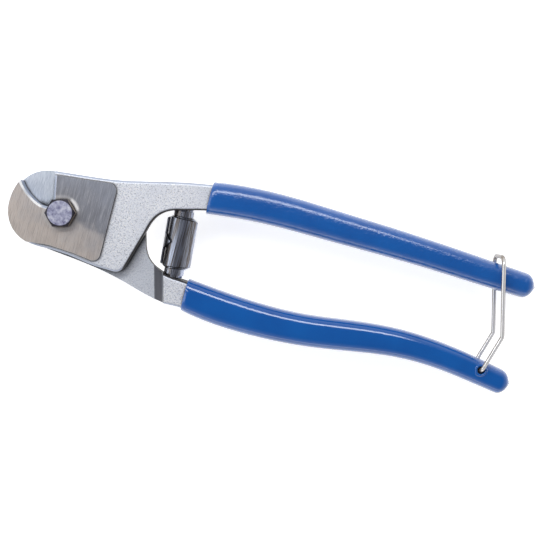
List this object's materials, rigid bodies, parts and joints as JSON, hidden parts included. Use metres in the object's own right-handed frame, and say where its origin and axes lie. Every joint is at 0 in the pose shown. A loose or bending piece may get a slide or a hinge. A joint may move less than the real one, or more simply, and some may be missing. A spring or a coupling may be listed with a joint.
{
  "type": "wire cutter",
  "caption": "Hand wire cutter with half-lapped forged jaws on a bolted pivot, a double volute return spring, dipped vinyl grips and a wire bail that latches the handles shut.",
  "frame": {"origin": "centre of the pivot bolt's end face, on the pivot axis, the lowest point of the tool as it lies on its back", "axes": "+Z along the pivot axis towards the bolt head, +X from the pivot to the handle ends, +Y to the upper handle"},
  "size_m": [0.2017, 0.0552, 0.0236],
  "materials": {
    "forged_steel": "satin blasted forging with ground jaw faces",
    "vinyl": "glossy dipped vinyl",
    "bolt_steel": "zinc plated",
    "spring_steel": "blued spring steel",
    "wire": "bright drawn wire"
  },
  "bodies": {
    "rear_lever": {"rear_lever": "forged_steel", "lower_grip": "vinyl", "pivot_bolt": "bolt_steel", "pivot_nut": "bolt_steel", "pivot_washer": "bolt_steel", "lower_spring_stud": "bolt_steel", "volute_spring": "spring_steel"},
    "front_lever": {"front_lever": "forged_steel", "upper_grip": "vinyl", "upper_spring_stud": "bolt_steel"},
    "bail": {"wire_bail": "wire"}
  },
  "joints": [
    {"name": "jaw_open", "type": "hinge", "parent": "rear_lever", "child": "front_lever", "pos_m": [0, 0, 0.0131], "axis": [0, 0, 1], "range_deg": [0, 16], "deforming": ["volute_spring"]},
    {"name": "bail_swing", "type": "hinge", "parent": "rear_lever", "child": "bail", "pos_m": [0.1682, -0.017, 0.0131], "axis": [0, 0, 1], "range_deg": [-258, 0]}
  ],
  "couplings": [
    {"joint": "bail_swing", "follows": "jaw_open", "ratio": -16}
  ]
}
